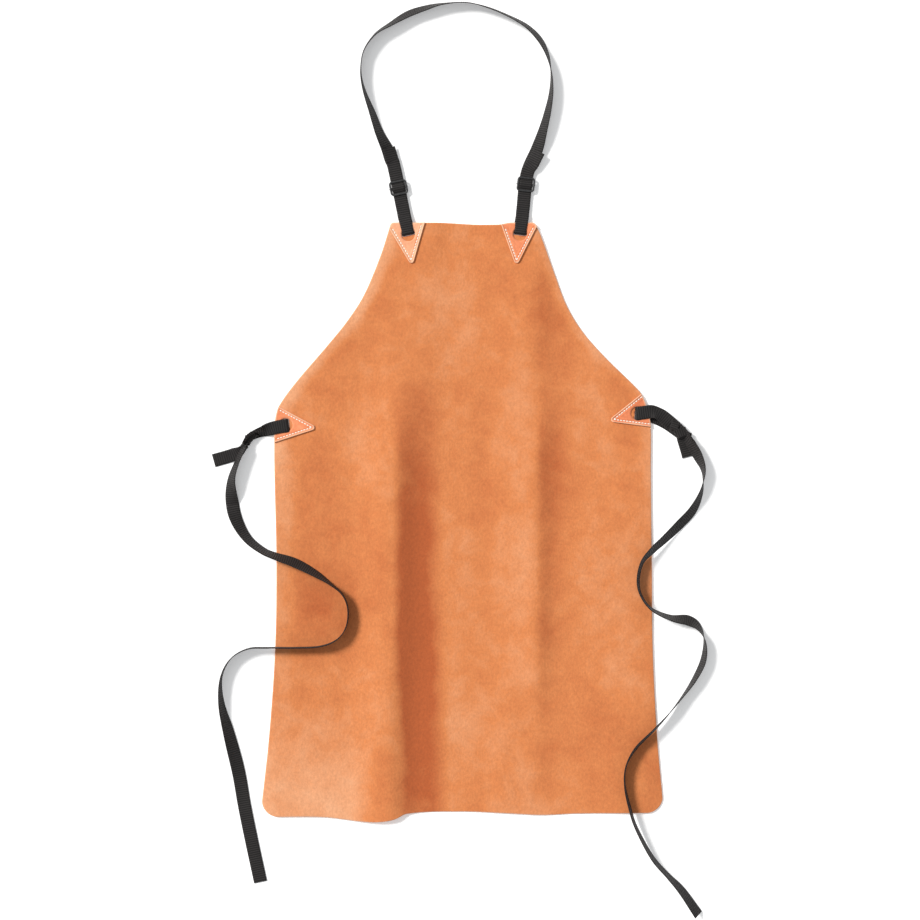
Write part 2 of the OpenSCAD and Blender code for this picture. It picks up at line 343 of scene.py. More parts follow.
def woven_webbing(name, base, crest_color):
    """Woven webbing: staggered ribs across it, and yarn columns along it."""
    n = Nodes(name)
    lay = n.attribute("lay", "Vector")
    parts = n.add("ShaderNodeSeparateXYZ", {0: lay}).outputs
    across, along = parts[0], parts[1]
    column = n.math("DIVIDE", across, YARN)
    shift = n.math("MULTIPLY", n.math("PINGPONG", n.math("FLOOR", column), 1.0), STAGGER)
    row = n.math("ADD", n.math("DIVIDE", along, RIB), shift)
    rib = n.math("ABSOLUTE", n.math("SINE", n.math("MULTIPLY", row, math.pi)))
    yarn = n.math("ABSOLUTE", n.math("SINE", n.math("MULTIPLY", column, math.pi)))
    weave = n.math("MULTIPLY", n.math("POWER", rib, 0.6), n.math("POWER", yarn, 0.5))
    fiber = n.noise(n.scaled(lay, (3.0, 1.0, 1.0)), scale=2600.0, detail=3.0, rough=0.6)
    wear = n.noise(n.place(), scale=60.0, detail=4.0, rough=0.6)
    # The weave's grooves between ribs and yarns are painted darker than their crests, as painted shade
    color = n.mix(n.spread(weave, 0.30, 1.0), base, crest_color)
    color = n.shade(color, n.vary(wear, 0.82, 1.18))
    color = n.shade(color, n.vary(fiber, 0.85, 1.15))
    normal = n.bump(weave, distance=0.00035, strength=0.9)
    normal = n.bump(fiber, distance=0.00006, strength=0.6, after=normal)
    rough = n.spread(weave, 0.0, 1.0, to_low=0.78, to_high=0.52)
    return n.finish(
        color, rough, normal, Sheen_Weight=0.05, Sheen_Roughness=0.45, Sheen_Tint=(0.9, 0.85, 0.85, 1),
        Specular_IOR_Level=0.28,
    )


def sewing_thread(name, shaded, bright):
    """Twisted pale thread with a little fluff."""
    n = Nodes(name)
    sockets = {"Vector": n.attribute("lay", "Vector"), "Scale": 900.0}
    twist = n.add("ShaderNodeTexWave", sockets, wave_type="BANDS", bands_direction="DIAGONAL").outputs["Fac"]
    fluff = n.noise(n.place(), scale=2500.0)
    color = n.mix(n.spread(twist, 0.2, 0.9), shaded, bright)
    color = n.shade(color, n.vary(fluff, 0.93, 1.05))
    normal = n.bump(twist, distance=0.00012, strength=0.8)
    return n.finish(color, n.vary(fluff, 0.5, 0.7), normal, Sheen_Weight=0.3)


def moulded_plastic(name, base, scuffed):
    """Black plastic with a fine moulded grain and faint scuffs."""
    n = Nodes(name)
    at = n.place()
    grain = n.noise(at, scale=1800.0, detail=2.0, rough=0.6)
    scuff = n.noise(n.scaled(at, (1.0, 0.35, 1.0)), scale=240.0, detail=5.0, rough=0.65)
    color = n.mix(n.spread(scuff, 0.45, 0.75), base, scuffed)
    normal = n.bump(grain, distance=0.00004, strength=0.5)
    return n.finish(color, n.vary(scuff, 0.32, 0.5), normal, Specular_IOR_Level=0.5)


def floor_paper(name, dark, light):
    n = Nodes(name)
    fibre = n.noise(n.place(), scale=60.0)
    color = n.mix(n.vary(fibre, 0.0, 1.0), dark, light)
    return n.finish(
        color, 0.9, None, Specular_IOR_Level=0.1, Emission_Color=(1.0, 1.0, 1.0, 1), Emission_Strength=0.22,
    )


HIDE = leather(
    "hide_leather", dark=(0.43, 0.100, 0.029, 1), mid=(0.61, 0.204, 0.068, 1), light=(0.74, 0.36, 0.19, 1),
    edge_glow=0.30,
)
PATCH = leather(
    "patch_leather", dark=(0.62, 0.165, 0.070, 1), mid=(0.80, 0.27, 0.125, 1), light=(0.86, 0.45, 0.27, 1),
    edge_glow=0.80,
)
# The first colour is the painted shade in the weave's grooves, the second that of the ribs' tops
WEBBING = woven_webbing("black_webbing", base=(0.0016, 0.0014, 0.0014, 1), crest_color=(0.0290, 0.0245, 0.0240, 1))
THREAD = sewing_thread("sewing_thread", shaded=(0.88, 0.82, 0.68, 1), bright=(0.98, 0.96, 0.90, 1))
PLASTIC = moulded_plastic("slider_plastic", base=(0.018, 0.018, 0.019, 1), scuffed=(0.035, 0.035, 0.036, 1))
FLOOR = floor_paper("floor_paper", dark=(0.955, 0.957, 0.96, 1), light=(0.965, 0.966, 0.968, 1))


# ---- Webbing ----

WEB_W = 20 * MM
WEB_T = 1.3 * MM
# Distance between the sections of a band, and the height of its ribs
STEP = 0.5 * MM
RIB_H = 0.17 * MM
# The share of a rib's height that lies under the webbing's nominal face
RIB_SUNK = 0.6
# Distance between the points of the path that a cord's declaration gives
PATH_STEP = 6 * MM
# Spans of a route are cut into this many steps, and spans of a shaped band into fewer
ROUTE_STEPS = 40
SHAPE_STEPS = 24
UP = Vector((0, 0, 1))

# The routes are those of part.scad. Each point is [x, y, height of the lower edge, roll], in
# metres and degrees. A roll of 0 lies flat, 90 stands on edge with the left-hand edge up, and
# more shows the back.
ROUTE_NECK = [
    [-0.088, 0.459, 0.0017, 0], [-0.09, 0.47, 0.0025, 0], [-0.103, 0.532, 0.0025, 0],
    [-0.108, 0.545, 0.0016, 9], [-0.114, 0.561, 0.0006, 26], [-0.125, 0.584, 0.0003, 48],
    [-0.136, 0.615, 0.0003, 62], [-0.148, 0.648, 0.0003, 79], [-0.153, 0.676, 0.0003, 90],
    [-0.149, 0.706, 0.0003, 97], [-0.132, 0.731, 0.0003, 105], [-0.108, 0.747, 0.0003, 117],
    [-0.082, 0.762, 0.0003, 129], [-0.056, 0.771, 0.0003, 122], [-0.03, 0.777, 0.0003, 107],
    [0.004, 0.779, 0.0003, 101], [0.036, 0.772, 0.0003, 104], [0.068, 0.759, 0.0003, 107],
    [0.095, 0.744, 0.0003, 115], [0.114, 0.725, 0.0003, 119], [0.126, 0.702, 0.0003, 109],
    [0.132, 0.674, 0.0003, 90], [0.132, 0.645, 0.0003, 75], [0.127, 0.616, 0.0003, 61],
    [0.12, 0.589, 0.0003, 48], [0.111, 0.56, 0.0008, 22], [0.096, 0.522, 0.0025, 0],
    [0.09, 0.47, 0.0025, 0], [0.089, 0.459, 0.0017, 0],
]
ROUTE_END_LEFT = [
    [-0.088, 0.459, 0.0056, 0], [-0.09, 0.47, 0.004, 0], [-0.103, 0.532, 0.004, 0],
    [-0.107, 0.546, 0.0042, 9], [-0.111, 0.562, 0.0044, 22],
]
ROUTE_END_RIGHT = [
    [0.089, 0.459, 0.0056, 0], [0.09, 0.47, 0.004, 0], [0.096, 0.522, 0.004, 0],
    [0.105, 0.539, 0.0044, -11], [0.114, 0.556, 0.0046, -20],
]
ROUTE_TIE_LEFT = [
    [-0.328, 0.113, 0.0024, 60], [-0.339, 0.089, 0.0024, 63], [-0.347, 0.062, 0.0024, 48],
    [-0.346, 0.027, 0.0003, 0], [-0.338, 0, 0.0003, -30], [-0.322, -0.025, 0.0005, -53],
    [-0.3, -0.042, 0.003, -62], [-0.281, -0.05, 0.0054, -60], [-0.252, -0.06, 0.0054, -49],
    [-0.223, -0.075, 0.0054, -62], [-0.199, -0.091, 0.0054, -83], [-0.18, -0.108, 0.0054, -90],
    [-0.172, -0.13, 0.0054, -90], [-0.175, -0.156, 0.0054, -90], [-0.189, -0.175, 0.0054, -90],
    [-0.214, -0.185, 0.0054, -90], [-0.25, -0.187, 0.0054, -90], [-0.29, -0.187, 0.0054, -90],
    [-0.322, -0.189, 0.0015, -90], [-0.348, -0.204, 0.0003, -90], [-0.362, -0.232, 0.0003, -87],
    [-0.362, -0.27, 0.0003, -70], [-0.351, -0.316, 0.0003, -37], [-0.337, -0.374, 0.0003, -8],
    [-0.328, -0.426, 0.0003, 0], [-0.317, -0.48, 0.0003, 0], [-0.304, -0.54, 0.0003, 0],
]
ROUTE_TIE_RIGHT = [
    [0.34, 0.12, 0.0024, 45], [0.351, 0.101, 0.0024, 47], [0.359, 0.082, 0.002, 72],
    [0.36, 0.065, 0.001, 92], [0.356, 0.043, 0.0003, 113], [0.344, 0.018, 0.0003, 134],
    [0.325, -0.003, 0.0003, 138], [0.303, -0.024, 0.0024, 129], [0.284, -0.041, 0.0054, 122],
    [0.268, -0.06, 0.0054, 110], [0.262, -0.087, 0.0054, 106], [0.267, -0.11, 0.0054, 101],
    [0.283, -0.13, 0.0054, 101], [0.312, -0.143, 0.002, 114], [0.338, -0.147, 0.0003, 139],
    [0.354, -0.158, 0.0003, 116], [0.362, -0.178, 0.0003, 88], [0.36, -0.206, 0.0003, 72],
    [0.347, -0.234, 0.0003, 77], [0.33, -0.259, 0.0003, 90], [0.309, -0.285, 0.004, 99],
    [0.285, -0.311, 0.0054, 106], [0.259, -0.337, 0.0054, 107], [0.244, -0.364, 0.0054, 99],
    [0.242, -0.393, 0.0054, 98], [0.249, -0.425, 0.0054, 103], [0.259, -0.456, 0.005, 103],
    [0.283, -0.501, 0.001, 106], [0.307, -0.529, 0.0003, 108], [0.328, -0.552, 0.0003, 123],
    [0.353, -0.588, 0.0003, 135],
]


def route_line(route):
    """The middle of the webbing along a route, with the way its width lies at each place."""
    dense = smooth_line(route, ROUTE_STEPS)
    middle = []
    for x, y, base, roll in dense:
        a = math.radians(roll)
        half_height = (WEB_W * abs(math.sin(a)) + WEB_T * abs(math.cos(a))) / 2
        middle.append(Vector((x, y, base + half_height)))
    line = []
    for i, p in enumerate(middle):
        run = (middle[min(i + 1, len(middle) - 1)] - middle[max(i - 1, 0)]).normalized()
        side = UP.cross(run).normalized()
        a = math.radians(dense[i][3])
        line.append((p, (math.cos(a) * side + math.sin(a) * run.cross(side)).normalized()))
    return line


def shaped_line(points, steps=SHAPE_STEPS):
    """As route_line, for webbing that turns over itself.

    Each point is its place in mm, the direction of its width in degrees, and how far the width's
    far edge is tipped up, in degrees, where it is. It may also be a place and a direction vector.
    """
    full = []
    for x, y, z, *way in points:
        if len(way) < 3:
            a, b = math.radians(way[0]), math.radians(sum(way[1:]))
            way = [math.cos(a) * math.cos(b), math.sin(a) * math.cos(b), math.sin(b)]
        full.append([x, y, z, *way])
    dense = smooth_line(full, steps)
    return [(Vector(q[:3]) * MM, Vector(q[3:]).normalized()) for q in dense]


def evenly(line, step):
    """The same line with its points step apart."""
    spans = [(b[0] - a[0]).length for a, b in zip(line, line[1:])]
    total = sum(spans)
    count = max(2, round(total / step))
    out, i, past = [], 0, 0.0
    for k in range(count + 1):
        want = total * k / count
        while i < len(spans) - 1 and past + spans[i] < want:
            past += spans[i]
            i += 1
        t = clamp((want - past) / max(spans[i], 1e-9))
        (p, across), (after, across_after) = line[i], line[i + 1]
        out.append((p.lerp(after, t), across.lerp(across_after, t).normalized()))
    return out, total


# The webbing's section has this many steps across each face, and a rounded selvedge at each side
WEB_COLUMNS = 8
SELVEDGE = 0.03


def web_section(width, thick):
    """The section's outline: places across it, and heights, over from one selvedge and back."""
    inner = 1 - 2 * SELVEDGE
    top = [(width * (0.5 - SELVEDGE - inner * k / WEB_COLUMNS), thick / 2) for k in range(WEB_COLUMNS + 1)]
    low = [(-x, -z) for x, z in top]
    return top + [(-width / 2, 0.0)] + low + [(width / 2, 0.0)]


def narrowed(least, start, end):
    """For webbing(): a width that grows from the share least to 1 between two shares of the length."""
    return lambda t: least + (1 - least) * smooth(t, start, end)


def webbing(name, line, width=WEB_W, thick=WEB_T, narrow=lambda t: 1.0):
    """A band of webbing with ribs across it. narrow(t) scales its width along it."""
    stations, total = evenly(line, STEP)
    section = web_section(width, thick)
    sides = len(section)
    verts, lay = [], []
    n = len(stations)
    for i, (p, across) in enumerate(stations):
        run = (stations[min(i + 1, n - 1)][0] - stations[max(i - 1, 0)][0]).normalized()
        across = (across - run * across.dot(run)).normalized()
        face = run.cross(across)
        s = total * i / (n - 1)
        rib = RIB_H * (abs(math.sin(math.pi * s / RIB)) - RIB_SUNK)
        scale = narrow(s / total)
        for x, z in section:
            high = z + (rib if z > 0 else -rib if z < 0 else 0.0)
            verts.append(p + across * x * scale + face * high)
            lay.append((x, s, 0.0))
    mesh = new_mesh(name, verts, tube_faces(n, sides))
    fill_attribute(mesh, "lay", lay)
    piece = add_object(name, mesh, WEBBING)
    return piece


def sparse(line):
    """The points of a line, PATH_STEP apart."""
    stations, total = evenly(line, PATH_STEP)
    return [tuple(p) for p, across in stations]


# ---- Neck strap ----

# The middles of the holes in the hide, and their radius, in mm
HOLES = {
    "neck_left": (-82, 432), "neck_right": (85.5, 432.5),
    "waist_left": (-265.5, 146), "waist_right": (262, 163.5),
}
HOLE_R = 9.9

# How a turned-back end comes up through its hole: distances towards the slider, and heights, in mm
NECK_RISE = [(0, 1.7), (-0.3, 3.2), (-0.3, 5.4), (0.6, 7.1), (3.5, 7.75), (12, 7.6), (18, 7.5)]


def bend_neck(piece):
    """Bakes the piece's placement into its mesh."""
    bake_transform(piece)


def neck_strap():
    """The strap from one hole round the loop to the other, as its lower layer."""
    left = shaped_line([(-81.9, 432.4, 1.0, 192), (-83.5, 440, 1.0, 192), (-85.5, 450, 1.3, 192)])
    right = shaped_line([(87.4, 450, 1.3, -7), (86.4, 440, 1.0, -7), (85.5, 432.6, 1.0, -7)])
    line = left[:-1] + route_line(ROUTE_NECK) + right[1:]
    piece = webbing("neck_strap_webbing", line)
    bend_neck(piece)
    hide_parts("neck_strap")
    return piece, line


def neck_end(name, hole, lean, route, *nodes):
    """A turned-back end: up through the hole, over the patch, through the slider, and on to its cut end."""
    x, y = hole
    a = math.radians(lean)
    rise = [(x - d * math.sin(a), y + d * math.cos(a), z, lean + 180) for d, z in NECK_RISE]
    line = shaped_line(rise)[:-1] + route_line(route)
    piece = webbing(name, line, narrow=narrowed(0.88, 0.06, 0.26))
    bend_neck(piece)
    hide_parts(*nodes)
    return piece


neck, neck_line = neck_strap()
end_left = neck_end(
    "neck_end_left", HOLES["neck_left"], 12, ROUTE_END_LEFT,
    "neck_strap_end_left", "neck_strap_turn_left",
)
end_right = neck_end(
    "neck_end_right", HOLES["neck_right"], -7, ROUTE_END_RIGHT,
    "neck_strap_end_right", "neck_strap_turn_right",
)


# ---- Sliders ----

SLIDER_W = 27 * MM
SLIDER_L = 22.5 * MM
SLIDER_CORNER = 3.6 * MM
# How far each slider is turned, in degrees
LEAN_LEFT = 11.8
LEAN_RIGHT = -6.6
# Half the widths and heights of the bars' sections, and the heights of the ring and of the middle bar
RING_BAR = (1.6 * MM, 1.15 * MM)
RAIL = (2.4 * MM, 0.9 * MM)
MIDDLE_BAR = (2.4 * MM, 0.8 * MM)
RING_Z = 6.5 * MM
MIDDLE_Z = 1.25 * MM
# How far the rails' middles lie inside the ring's outline
RAIL_IN = 1.7 * MM
BAR_SIDES = 12
CORNER_STEPS = 8
# Places along a straight bar, and how full its section is there
BAR_CUTS = [(0.0, 0.55), (0.02, 0.9), (0.06, 1.0), (0.94, 1.0), (0.98, 0.9), (1.0, 0.55)]
# The webbing inside a slider: distances from the middle bar along it, and heights, in mm
BULGE = [(-9.4, 4.9), (-7.0, 5.3), (-4.6, 6.5), (-1.6, 7.5), (1.6, 7.5), (4.6, 6.5), (7.0, 5.3), (9.4, 4.9)]
BULGE_W = 19.6 * MM


def bar_section(size):
    """Points round an oval section with flattened sides; size is half its width and half its height."""
    def blunt(v):
        return math.copysign(abs(v) ** 0.7, v)

    angles = [2 * math.pi * k / BAR_SIDES for k in range(BAR_SIDES)]
    return [(size[0] * blunt(math.cos(a)), size[1] * blunt(math.sin(a))) for a in angles]


def bar_ring(corners, size):
    """A closed bar that follows the given points."""
    n = len(corners)
    verts = []
    for i, p in enumerate(corners):
        run = (corners[(i + 1) % n] - corners[i - 1]).normalized()
        out = Vector((run.y, -run.x, 0)).normalized()
        verts += [p + out * w + UP * h for w, h in bar_section(size)]
    faces = []
    for i in range(n):
        here, after = i * BAR_SIDES, (i + 1) % n * BAR_SIDES
        for k in range(BAR_SIDES):
            m = (k + 1) % BAR_SIDES
            faces.append((here + k, after + k, after + m, here + m))
    return verts, faces


def straight_bar(a, b, size):
    """A bar with slightly domed ends."""
    run = (b - a).normalized()
    side = UP.cross(run) if abs(run.z) < 0.9 else Vector((1, 0, 0))
    side.normalize()
    over = run.cross(side)
    verts = []
    for t, full in BAR_CUTS:
        verts += [a.lerp(b, t) + side * w * full + over * h * full for w, h in bar_section(size)]
    return verts, tube_faces(len(BAR_CUTS), BAR_SIDES)


def slider(name, node, lean):
    """A tri-glide: a ring of round bars above the webbing, and a middle bar below it."""
    low, high = (Vector(c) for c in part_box(node))
    middle = (low + high) / 2
    corner_x = SLIDER_W / 2 - RING_BAR[0] - SLIDER_CORNER
    corner_y = SLIDER_L / 2 - RING_BAR[0] - SLIDER_CORNER
    corners = []
    for cx, cy, start in ((1, -1, -90), (1, 1, 0), (-1, 1, 90), (-1, -1, 180)):
        for k in range(CORNER_STEPS + 1):
            a = math.radians(start + 90 * k / CORNER_STEPS)
            x = cx * corner_x + SLIDER_CORNER * math.cos(a)
            y = cy * corner_y + SLIDER_CORNER * math.sin(a)
            corners.append(Vector((x, y, RING_Z)))
    bars = [bar_ring(corners, RING_BAR)]
    reach = SLIDER_W / 2 - RAIL_IN
    for x in (-reach, reach):
        bars.append(straight_bar(Vector((x, 0, MIDDLE_Z)), Vector((x, 0, RING_Z)), RAIL))
    bars.append(straight_bar(Vector((-reach, 0, MIDDLE_Z)), Vector((reach, 0, MIDDLE_Z)), MIDDLE_BAR))
    verts, faces = [], []
    turn = math.radians(lean)
    for bar_verts, bar_faces in bars:
        first = len(verts)
        for v in bar_verts:
            x = middle.x + v.x * math.cos(turn) - v.y * math.sin(turn)
            y = middle.y + v.x * math.sin(turn) + v.y * math.cos(turn)
            verts.append((x, y, v.z))
        faces += [tuple(first + i for i in f) for f in bar_faces]
    piece = add_object(name, new_mesh(name, verts, faces), PLASTIC)
    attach(piece, node)
    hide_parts(node)
    return piece


def strap_bulge(name, node, lean):
    """The webbing inside a slider's ring: it comes up over the middle bar, and travels with the slider."""
    low, high = (Vector(c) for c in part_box(node))
    middle = (low + high) / (2 * MM)
    a = math.radians(lean)
    points = [(middle.x - d * math.sin(a), middle.y + d * math.cos(a), z, lean + 180) for d, z in BULGE]
    piece = webbing(name, shaped_line(points), width=BULGE_W)
    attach(piece, node)
    return piece


slider_left = slider("tri_glide_left", "slider_left", LEAN_LEFT)
slider_right = slider("tri_glide_right", "slider_right", LEAN_RIGHT)
bulges = [
    strap_bulge("strap_bulge_left", "slider_left", LEAN_LEFT),
    strap_bulge("strap_bulge_right", "slider_right", LEAN_RIGHT),
]

neck_path = sparse(neck_line)


# ---- Waist ties ----

# A band runs from its knot under the hide, up through the hole, and back over the patch to the knot
BAND_LEFT = [
    (-322, 127.5, 3.2, 112, -13), (-312, 131.5, 1.9, 106, -5), (-298, 136.5, 1.0, 104),
    (-284, 141.5, 0.95, 101), (-270, 144.6, 0.95, 98), (-263.4, 145.5, 1.3, 97),
    (-261.9, 145.7, 3.2, 97), (-261.9, 145.7, 5.4, 97), (-263.0, 145.5, 7.1, 97),
    (-266.5, 145.0, 7.8, 98), (-275, 143.7, 7.9, 99), (-284, 141.8, 7.8, 100),
    (-291, 139.6, 7.4, 104, 12), (-299, 137.6, 7.2, 106, 38), (-307, 135.6, 9.0, 108, 58),
    (-315, 132, 9.6, 118, 66), (-321.5, 126, 9.5, 132, 64), (-326, 117, 9.4, 152, 62),
]
TAIL_LEFT = [
    (-329, 112.5, 4.2, 126, 30), (-335, 107, 2.9, 117, 14), (-344, 102, 1.3, 110),
    (-356, 98, 0.95, 107), (-374.5, 92.8, 0.95, 106),
]
BAND_RIGHT = [
    (329, 132, 3.4, 44, -14), (318, 140.5, 1.9, 50, -5), (306, 149, 1.1, 57), (292, 156.5, 0.95, 66),
    (277, 161.5, 0.95, 80), (260.8, 163.3, 1.3, 88), (259.2, 163.4, 3.2, 90), (259.2, 163.4, 5.4, 90),
    (260.3, 163.5, 7.1, 90), (264, 164.0, 7.8, 92), (273, 165.2, 8.0, 94), (282, 166.3, 7.8, 90, -6),
    (290, 164.8, 7.4, 78, -22), (299, 159.5, 7.0, 62, -10), (307, 152.5, 7.0, 52),
    (316, 145, 6.9, 46, 14), (325, 136.5, 6.9, 42, 24), (333, 127.5, 6.6, 38, 34),
    (341, 117.5, 7.3, 36, 42),
]
TAIL_RIGHT = [
    (329.5, 129, 3.4, 24, 10), (333, 119, 2.0, 14), (336.5, 108, 1.1, 11), (339, 98.5, 0.95, 13),
]

# The turns of each knot round the webbing inside it: their two ends, half their width and height, all in mm,
# how many turns, the angle of their start in degrees, and the width of their webbing
KNOT_LEFT = [
    ((-311, 134.6, 6.4), (-323, 126.0, 6.6), 4.8, 4.2, 1.0, 290, 9 * MM),
    ((-317.5, 130, 6.6), (-331.5, 108.5, 6.2), 4.3, 4.3, -2.0, 250, 9 * MM),
]
KNOT_RIGHT = [
    ((311, 149.3, 6.0), (324.5, 138, 6.2), 7.6, 4.9, 1.0, 290, 13 * MM),
    ((319.5, 142, 6.2), (336, 126, 6.4), 7.6, 5.0, -1.0, 250, 14 * MM),
]
WRAP_POINTS = 46
WRAP_T = 1.5 * MM
# How far a turn strays from its oval, and how far its webbing leans out of the axis
WRAP_WOBBLE = 0.10
WRAP_LEAN = 0.30

# The webbing's width where a tie meets its knot, as a share of its whole width
PINCH = {"left": 0.6, "right": 0.95}

# Height of a lead's root inside the knot, and its width as a share of the webbing's. The root reaches the
# swing's axis, so no gap opens when the lead swings.
ROOT_Z = 5.6 * MM
ROOT_SHARE = 0.35


def wrap(name, start, end, wide, tall, turns, first, width):
    """The tight turns of a knot."""
    a, b = Vector(start), Vector(end)
    axis = (b - a).normalized()
    side = UP.cross(axis).normalized()
    points = []
    for k in range(WRAP_POINTS + 1):
        t = k / WRAP_POINTS
        turn = math.radians(first) + 2 * math.pi * turns * t
        wobble = 1 + WRAP_WOBBLE * math.sin(3.1 * turn + 0.7)
        p = a.lerp(b, t) + side * wide * wobble * math.cos(turn) + UP * tall * wobble * math.sin(turn)
        lean = axis + side * WRAP_LEAN * math.sin(turn) * math.copysign(1, turns)
        points.append([*p, *lean.normalized()])
    return webbing(name, shaped_line(points, 6), width=width, thick=WRAP_T)


def swing_axis(joint):
    """The place of a joint's axis."""
    return Vector(next(j["pos_m"] for j in frame["record"]["behaviour"]["joints"] if j["name"] == joint))


def waist_tie(side, route, band, tail, turns, hitch, lead):
    """One tie: its long free end, the band through the hole, the tail, and the knot's turns."""
    line = route_line(route)
    pinch = PINCH[side]
    free = webbing("tie_%s_lead" % side, line, narrow=narrowed(pinch, -0.05, 0.055))
    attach(free, "tie_" + side)
    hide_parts(lead)
    hub = swing_axis("tie_%s_swing" % side)
    hub.z = ROOT_Z
    start, across = line[2]
    root_width = WEB_W * ROOT_SHARE * (1 + pinch)
    root = webbing("tie_%s_root" % side, [(hub, across), (start, across)], width=root_width)
    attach(root, "tie_" + side)
    parts = [
        webbing("tie_%s_band" % side, shaped_line(band), narrow=narrowed(pinch, 0.10, 0.28)),
        webbing("tie_%s_tail" % side, shaped_line(tail), narrow=narrowed(pinch, 0.0, 0.4)),
    ]
    parts += [wrap("tie_%s_knot_%d" % (side, i), *turn) for i, turn in enumerate(turns, 1)]
    for part in parts:
        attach(part, "apron")
    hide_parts(hitch)
    path = sparse(line)


waist_tie(
    "left", ROUTE_TIE_LEFT, BAND_LEFT, TAIL_LEFT, KNOT_LEFT,
    "waist_hitch_left", "waist_tie_left",
)
waist_tie(
    "right", ROUTE_TIE_RIGHT, BAND_RIGHT, TAIL_RIGHT, KNOT_RIGHT,
    "waist_hitch_right", "waist_tie_right",
)


# ---- The hide's shape, in mm ----

# How far the hide reaches to the left and to the right, at heights up the hide
HALF_LEFT = [
    (-420, 302), (-320, 291), (-190, 282), (-60, 280), (80, 283), (140, 283), (160, 281), (176, 275.5),
    (210, 251), (265, 204), (300, 175.5), (340, 149.5), (400, 124), (450, 108),
]
HALF_RIGHT = [
    (-420, 300), (-320, 291.5), (-190, 285), (-60, 283.5), (80, 282), (140, 282), (160, 279.5), (192, 268),
    (212, 250), (247, 214), (285, 180.5), (325, 156), (375, 137), (430, 117), (450, 108),
]
# Height of the hem across the hide
HEM = [
    (-290, -442), (-211, -442), (-157, -448), (-130, -449), (-103, -445), (-84, -437), (0, -434), (60, -436),
    (120, -439), (170, -437), (290, -436),
]
HEM_Y = -441
TOP_Y = 450
CORNER = 25
TOP_CORNER = 4
LEATHER_T = 2.2
PATCH_T = 2.0
# Height of the hide's back face round the holes
LIFT = 2.4
# Height of the hide's back face across the body, and across the bib
BODY_FOLDS = [
    (-302, 0.7), (-275, 2.4), (-170, 2.5), (-145, 5.6), (-124, 9.4), (-108, 11.0), (-97, 10.2), (-70, 3.2),
    (-50, 0.8), (0, 0.5), (40, 1.0), (88, 4.8), (106, 6.3), (115, 5.6), (136, 1.5), (165, 0.8), (235, 2.4),
    (275, 2.4), (302, 0.7),
]
BIB_FOLDS = [
    (-280, 1.5), (-200, 1.8), (-150, 1.2), (-105, 2.6), (-58, 2.2), (-20, 0.4), (40, 0.6), (76, 2.6),
    (104, 3.4), (140, 0.9), (220, 1.8), (280, 1.5),
]


def rounding(radius, past):
    """How far a round corner draws an edge in, at some distance past the corner's start."""
    return radius - math.sqrt(radius ** 2 - clamp(past, 0, radius) ** 2)


def edge_x(side, y):
    """Half the hide's width at height y; side is -1 for left and 1 for right."""
    half = curve_value(HALF_LEFT if side < 0 else HALF_RIGHT, y)
    return half - rounding(CORNER, HEM_Y + CORNER - y) - rounding(TOP_CORNER, y - TOP_Y + TOP_CORNER)


def edge_shift(x, y):
    """How far the hem wanders from its nominal line, and the top edge dips to the right of its middle."""
    low = (curve_value(HEM, x) - HEM_Y) * smooth(-y, 330, 441)
    high = -3.0 * smooth(x, -40, 30) * (1 - smooth(x, 52, 72)) * smooth(y, 400, 450)
    return low + high


def fold_height(x, y):
    """Height of the hide's back face."""
    drift = 6 * smooth(-y, 120, 300) * smooth(-x, 20, 80) - 12 * smooth(y, 60, 230)
    body = curve_value(BODY_FOLDS, x + drift)
    # The right-hand fold dies away towards the hem
    low_right = smooth(x, 40, 90) * (1 - smooth(x, 190, 230)) * smooth(-y, 190, 330)
    body += (1.6 - body) * 0.75 * low_right
    high = body + (curve_value(BIB_FOLDS, x) - body) * smooth(y, 60, 265)
    high += 0.55 * noise.noise(Vector((x / 62, y / 90, 1.7)))
    high += 0.22 * noise.noise(Vector((x / 21, y / 30, 5.1)))
    # The hem waves a little
    wave = 1.1 * smooth(-y, 330, 441) * math.sin(x / 38 + 0.6) * smooth(abs(x), 300, 230)
    high = max(0.15, high + max(wave, -0.4))
    flat = max(1 - smooth(math.hypot(x - hx, y - hy), 30, 62) for hx, hy in HOLES.values())
    return high + (LIFT - high) * flat


# How strongly the painted shade of the left-hand fold (A) and of the right-hand one (B) darkens the leather,
# at heights up the hide
SHADE_A = [
    (-440, 0.62), (-400, 0.80), (-330, 1.0), (-180, 1.05), (-60, 0.95), (10, 0.95), (60, 0.72), (120, 0.48),
    (180, 0.30), (240, 0.10), (300, 0.0),
]
SHADE_B = [
    (-440, 0.0), (-300, 0.18), (-200, 0.42), (-60, 0.62), (60, 0.72), (130, 0.78), (200, 0.30), (260, 0.30),
]
# Paler and darker spots of the leather: (tone, middle x, half-width, middle y, half-height). The darker
# spots at x -220 and x -212, by the left tie, are its painted shadow, and the narrow one high on the bib at
# x 112 is painted shade of the right-hand fold
TONE_AND_SHADE_SPOTS = [
    (0.20, 5, 55, -300, 70), (0.05, -15, 60, 330, 90), (-0.14, -220, 42, 0, 90), (-0.26, -212, 42, -130, 55),
    (-0.07, -172, 40, 60, 120), (-0.16, 112, 20, 300, 70),
]


def bell(v, middle, half):
    return math.exp(-(((v - middle) / half) ** 2))


